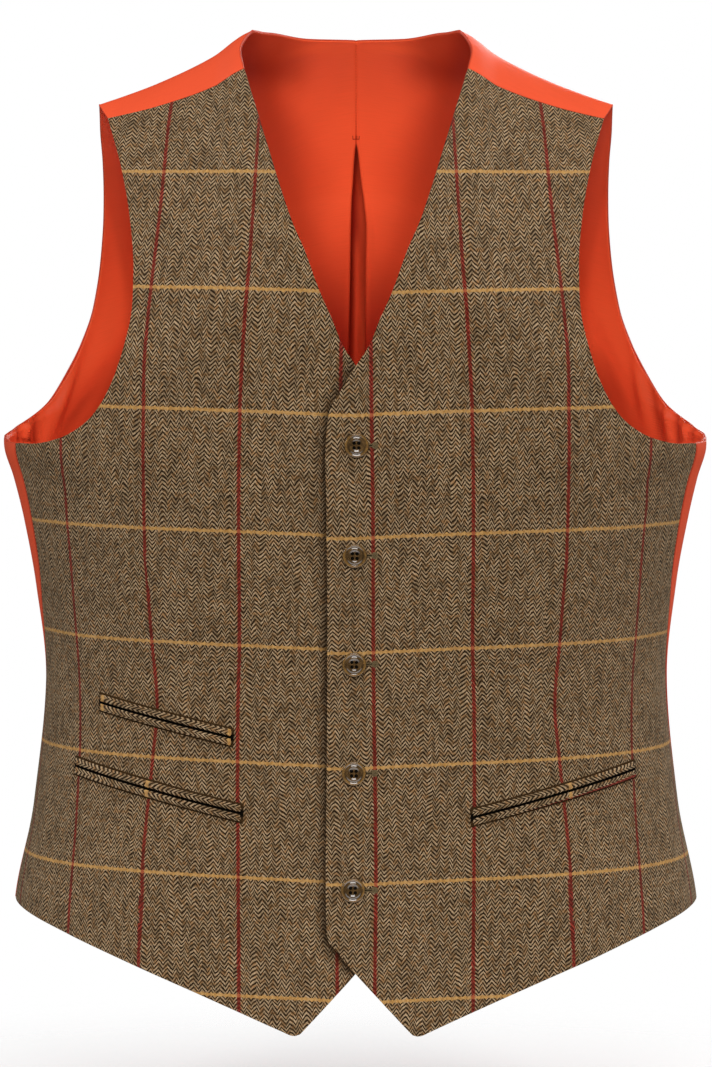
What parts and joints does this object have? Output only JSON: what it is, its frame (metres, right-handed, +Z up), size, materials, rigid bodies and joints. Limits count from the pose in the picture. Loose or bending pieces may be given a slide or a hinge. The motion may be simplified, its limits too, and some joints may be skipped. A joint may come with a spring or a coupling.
{
  "type": "suit waistcoat",
  "caption": "Filled-out suit waistcoat with checked tweed fronts, V neck, jetted pockets, buttoned lap, pointed hem and a satin back with a pleated lining.",
  "frame": {"origin": "midway between the shoulders, at the height of the middle of the shoulder line, where the wearer carries the garment", "axes": "+Z up, the fronts face -Y, +X to the wearer's left"},
  "size_m": [0.452, 0.2557, 0.6293],
  "materials": {
    "tweed": "brown and tan herringbone wool with a golden and red windowpane check",
    "satin": "orange-red satin with a soft sheen",
    "lining": "orange-red satin lining",
    "horn": "polished brown horn look"
  },
  "bodies": {
    "root": {"front_left": "tweed", "front_right": "tweed", "back_left": "satin", "back_right": "satin", "back_lining": "lining", "pocket_ticket_upper_jet": "tweed", "pocket_ticket_lower_jet": "tweed", "pocket_right_upper_jet": "tweed", "pocket_right_lower_jet": "tweed", "pocket_left_upper_jet": "tweed", "pocket_left_lower_jet": "tweed", "button_1": "horn", "button_2": "horn", "button_3": "horn", "button_4": "horn", "button_5": "horn"}
  },
  "joints": []
}
